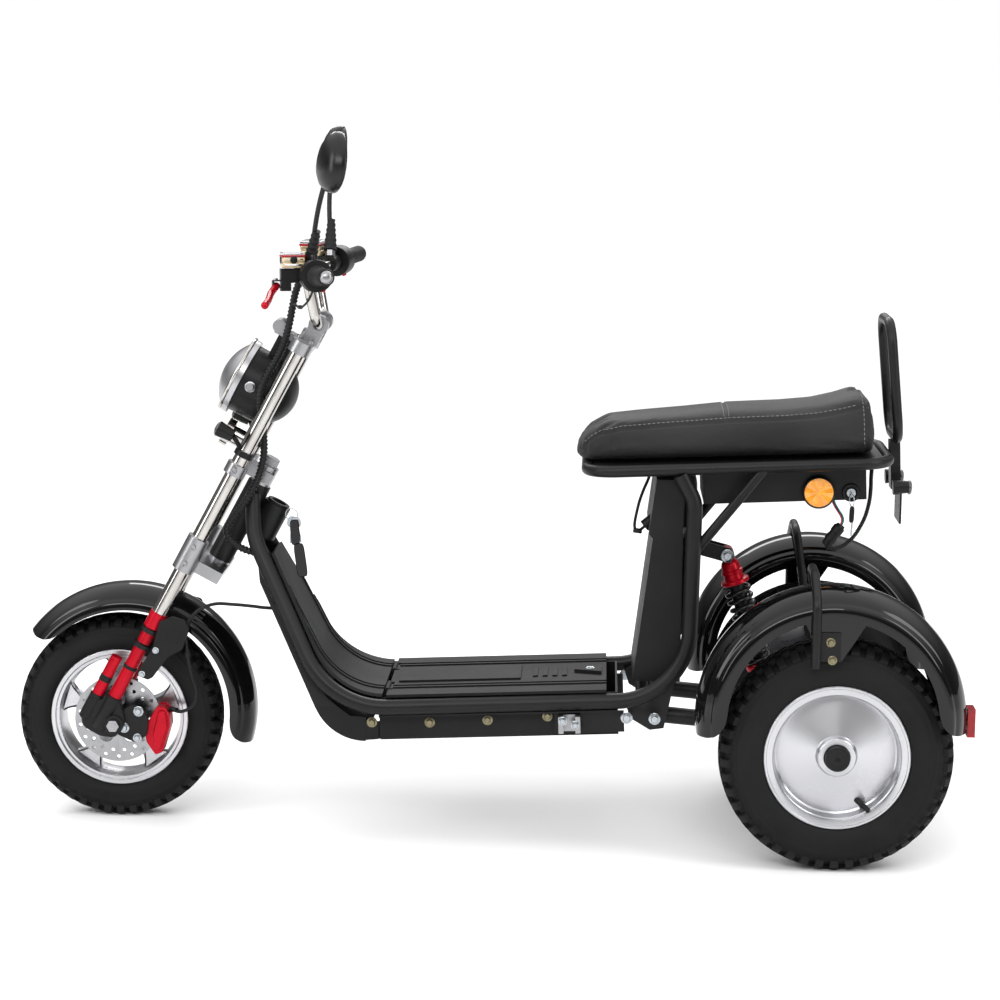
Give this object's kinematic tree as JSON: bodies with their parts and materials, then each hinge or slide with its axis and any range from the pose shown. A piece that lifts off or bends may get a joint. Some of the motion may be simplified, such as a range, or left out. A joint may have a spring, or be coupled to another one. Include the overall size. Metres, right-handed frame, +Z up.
{
  "type": "three-wheeled electric scooter",
  "caption": "Black three-wheeled electric scooter with raked fork, low foot deck, bench seat and driven rear axle; steering, wheels and deck lid move.",
  "frame": {"origin": "middle of the length and width, on the ground under the wheels", "axes": "+X forward, +Y to the rider's left, +Z up"},
  "size_m": [1.9402, 0.7776, 1.4326],
  "materials": {
    "frame_paint": "satin black paint",
    "vinyl": "grained black vinyl",
    "moulded_black": "textured black moulding",
    "battery_grey": "plain casing",
    "case_black": "fine-grained black",
    "gloss_black": "high-gloss black paint",
    "amber_lens": "faceted amber",
    "red_lens": "clear red",
    "lamp_front": "silvered lamp front",
    "red_finish": "bright red, metallic",
    "spring_black": "black coil",
    "bright_tube": "polished tube",
    "bright_alloy": "bright alloy",
    "wheel_alloy": "turned alloy",
    "cast_alloy": "cast alloy",
    "steel": "machined steel",
    "grip_rubber": "ribbed rubber",
    "cord_black": "sleeved cord",
    "reservoir_tan": "tinted translucent",
    "tyre": "black rubber"
  },
  "bodies": {
    "chassis": {"frame": "frame_paint", "seat_frame": "frame_paint", "seat": "vinyl", "apron": "moulded_black", "front_skirt": "moulded_black", "deck_tray": "moulded_black", "deck_battery": "battery_grey", "peg_brackets": "frame_paint", "peg_hinges": "bright_alloy", "seat_post_cover": "moulded_black", "battery_case": "case_black", "side_reflectors": "amber_lens", "backrest": "frame_paint", "tail_bracket": "frame_paint", "rear_signals": "case_black", "swing_arm": "frame_paint", "drive_motor": "cast_alloy", "rear_shock": "red_finish", "shock_spring": "spring_black", "rear_fender_left": "gloss_black", "rear_fender_right": "gloss_black", "fender_hoops": "frame_paint", "tail_lamps": "red_lens", "ignition_pod": "case_black", "charge_socket": "case_black", "charge_lead": "cord_black", "rear_harness": "cord_black"},
    "deck_lid": {"deck_lid": "moulded_black"},
    "steering": {"fork_yokes": "bright_alloy", "bar_clamp": "bright_alloy", "stanchions": "bright_tube", "sliders": "red_finish", "fork_feet": "case_black", "front_axle": "steel", "front_fender": "gloss_black", "fender_brackets": "frame_paint", "headlamp_shell": "case_black", "headlamp_lens": "lamp_front", "horn": "bright_tube", "front_signals": "case_black", "handlebar": "bright_tube", "grips": "grip_rubber", "bar_controls": "case_black", "brake_levers": "red_finish", "fluid_reservoirs": "reservoir_tan", "mirrors": "case_black", "caliper": "red_finish", "brake_hose": "cord_black", "loom": "cord_black"},
    "front_wheel": {"front_tyre": "tyre", "front_rim": "wheel_alloy", "brake_disc": "steel"},
    "rear_wheel_left": {"rear_tyre_left": "tyre", "rear_rim_left": "wheel_alloy"},
    "rear_wheel_right": {"rear_tyre_right": "tyre", "rear_rim_right": "wheel_alloy"}
  },
  "joints": [
    {"name": "steer", "type": "hinge", "parent": "chassis", "child": "steering", "pos_m": [0.50985, 0, 0.62361], "axis": [-0.4695, 0, 0.8829], "range_deg": [-35, 35], "deforming": ["brake_hose", "loom"]},
    {"name": "front_wheel_spin", "type": "hinge", "parent": "steering", "child": "front_wheel", "pos_m": [0.75815, 0, 0.212], "axis": [0, 1, 0], "continuous": true},
    {"name": "rear_wheel_left_spin", "type": "hinge", "parent": "chassis", "child": "rear_wheel_left", "pos_m": [-0.70185, 0.2925, 0.23], "axis": [0, 1, 0], "continuous": true},
    {"name": "rear_wheel_right_spin", "type": "hinge", "parent": "chassis", "child": "rear_wheel_right", "pos_m": [-0.70185, -0.2925, 0.23], "axis": [0, 1, 0], "continuous": true},
    {"name": "deck_lid_hinge", "type": "hinge", "parent": "chassis", "child": "deck_lid", "pos_m": [0.19409, 0, 0.29881], "axis": [0, 1, 0], "range_deg": [0, 80]}
  ]
}
